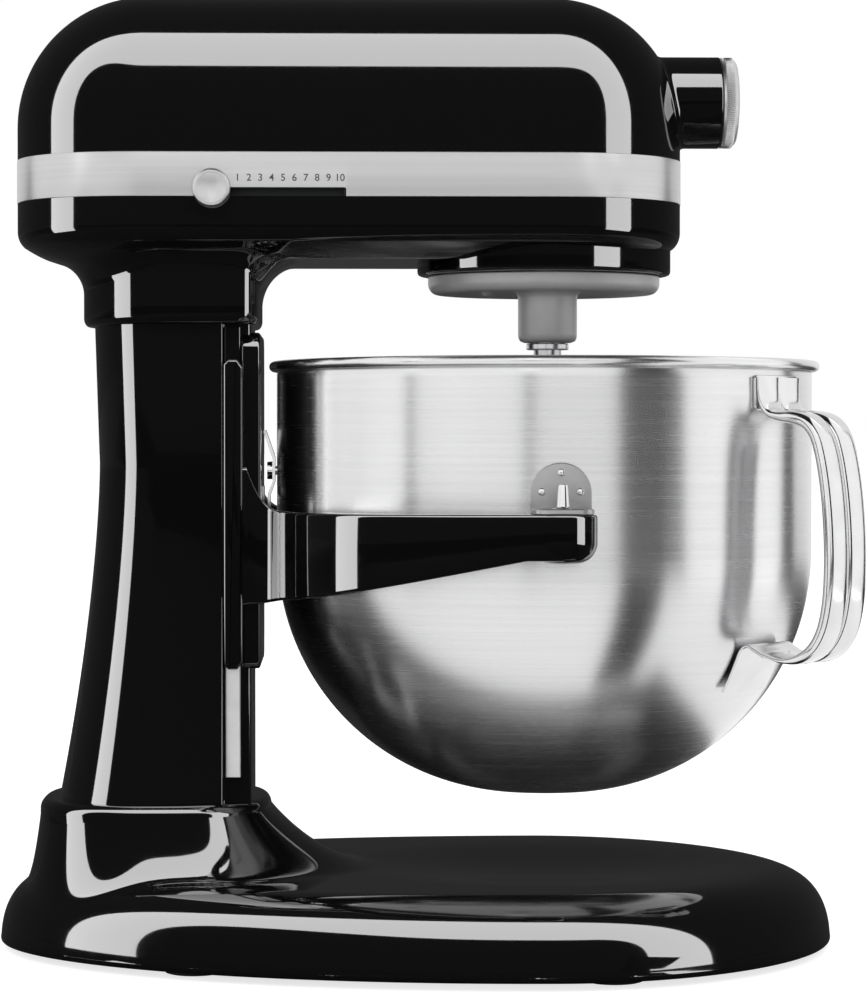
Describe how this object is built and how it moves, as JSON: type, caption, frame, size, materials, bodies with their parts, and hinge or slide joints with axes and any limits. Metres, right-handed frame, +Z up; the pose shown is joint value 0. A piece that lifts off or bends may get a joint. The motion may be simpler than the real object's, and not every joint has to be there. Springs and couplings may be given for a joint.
{
  "type": "stand mixer",
  "caption": "Bowl-lift stand mixer with a gloss black cast body, steel bowl with strap handle on a sliding support, planetary beater drive and attachment hub.",
  "frame": {"origin": "on the table under the middle of the whole mixer, handle included", "axes": "+X to the mixer's front, where the attachment hub is; +Z up; the speed knob is on the -Y side and the lift lever on the +Y side"},
  "size_m": [0.3733, 0.2874, 0.4203],
  "materials": {
    "gloss_enamel": "high gloss black enamel",
    "brushed_aluminium": "fine lengthwise brushing",
    "satin_silver": "satin",
    "brushed_bowl_steel": "fine brushing round the bowl",
    "polished_steel": "polished",
    "grey_cover_paint": "satin silver-grey paint",
    "machined_steel": "turned and ground",
    "dark_steel": "dark zinc",
    "bronze": "sintered bronze",
    "cast_aluminium": "die cast",
    "black_plastic": "fine texture",
    "foot_rubber": "matt",
    "nylon": "moulded",
    "magnet_ferrite": "sintered",
    "copper_winding": "varnished",
    "circuit_board": "solder mask"
  },
  "bodies": {
    "frame": {"base_casting": "gloss_enamel", "base_cover_plate": "black_plastic", "rubber_feet": "foot_rubber", "column": "gloss_enamel", "column_bolts": "dark_steel", "guide_rails": "satin_silver", "shaft_bush": "bronze", "head_housing": "gloss_enamel", "neck_bolts": "dark_steel", "trim_band": "brushed_aluminium", "slot_liner": "black_plastic", "control_board": "circuit_board", "top_cover": "gloss_enamel", "cover_screws": "dark_steel", "hub_barrel": "gloss_enamel", "hub_bearing": "bronze", "motor_can": "dark_steel", "field_magnets": "magnet_ferrite", "motor_front_plate": "cast_aluminium", "motor_rear_plate": "cast_aluminium", "motor_bearings": "machined_steel", "lay_bearings": "bronze", "gear_frame": "cast_aluminium", "centre_bearings": "bronze", "ring_gear": "machined_steel", "drip_ring": "gloss_enamel"},
    "support": {"bowl_support": "gloss_enamel", "locating_pins": "polished_steel", "support_catch": "polished_steel", "lift_yoke": "machined_steel", "yoke_screws": "machined_steel"},
    "lever": {"lift_shaft": "machined_steel", "lift_crank": "dark_steel", "lift_lever": "gloss_enamel", "lever_knob": "black_plastic"},
    "bowl": {"bowl": "brushed_bowl_steel", "bowl_brackets": "polished_steel", "rear_latch": "polished_steel", "latch_rivet": "polished_steel", "handle": "polished_steel", "weld_studs": "polished_steel"},
    "speed": {"speed_knob": "satin_silver", "speed_slider": "dark_steel"},
    "rotor": {"rotor_shaft": "machined_steel", "rotor_core": "copper_winding", "commutator": "copper_winding", "cooling_fan": "black_plastic", "motor_pinion": "machined_steel"},
    "layshaft": {"layshaft": "machined_steel", "reduction_gear": "nylon"},
    "planetary": {"centre_shaft": "machined_steel", "crown_gear": "machined_steel", "planetary_cover": "grey_cover_paint"},
    "beater": {"planet_pinion": "machined_steel", "beater_shaft": "machined_steel", "beater_pin": "machined_steel"},
    "hub_drive": {"hub_socket": "machined_steel", "hub_pinion": "machined_steel"},
    "hub_cap": {"hub_cap": "satin_silver"},
    "hub_clamp": {"hub_clamp_knob": "black_plastic"}
  },
  "joints": [
    {"name": "bowl_lift", "type": "slide", "parent": "frame", "child": "support", "axis": [0, 0, 1], "range_m": [-0.034, 0]},
    {"name": "lift_lever_turn", "type": "hinge", "parent": "frame", "child": "lever", "pos_m": [-0.1, 0, 0.1475], "axis": [0, 1, 0], "range_deg": [-69.24, 0.2]},
    {"name": "bowl_off", "type": "slide", "parent": "support", "child": "bowl", "axis": [0, 0, 1], "range_m": [0, 0.036]},
    {"name": "speed_slide", "type": "slide", "parent": "frame", "child": "speed", "axis": [1, 0, 0], "range_m": [0, 0.054]},
    {"name": "rotor_spin", "type": "hinge", "parent": "frame", "child": "rotor", "pos_m": [-0.06, 0, 0.3514], "axis": [1, 0, 0], "continuous": true},
    {"name": "layshaft_spin", "type": "hinge", "parent": "frame", "child": "layshaft", "pos_m": [0, 0, 0.3754], "axis": [1, 0, 0], "continuous": true},
    {"name": "planetary_turn", "type": "hinge", "parent": "frame", "child": "planetary", "pos_m": [0.057, 0, 0.3], "axis": [0, 0, 1], "continuous": true},
    {"name": "beater_spin", "type": "hinge", "parent": "planetary", "child": "beater", "pos_m": [0.057, -0.028, 0.3], "axis": [0, 0, 1], "continuous": true},
    {"name": "hub_spin", "type": "hinge", "parent": "frame", "child": "hub_drive", "pos_m": [0.1, 0, 0.3754], "axis": [1, 0, 0], "continuous": true},
    {"name": "hub_cap_off", "type": "slide", "parent": "frame", "child": "hub_cap", "axis": [1, 0, 0], "range_m": [0, 0.04]},
    {"name": "hub_clamp_turn", "type": "hinge", "parent": "frame", "child": "hub_clamp", "pos_m": [0.127, 0.03, 0.3754], "axis": [0, 1, 0], "continuous": true}
  ],
  "couplings": [
    {"joint": "lift_lever_turn", "follows": "bowl_lift", "rad_per_m": 35.439},
    {"joint": "layshaft_spin", "follows": "rotor_spin", "ratio": -0.26316},
    {"joint": "hub_spin", "follows": "rotor_spin", "ratio": 0.26316},
    {"joint": "planetary_turn", "follows": "rotor_spin", "ratio": 0.092879},
    {"joint": "beater_spin", "follows": "rotor_spin", "ratio": -0.25542}
  ]
}
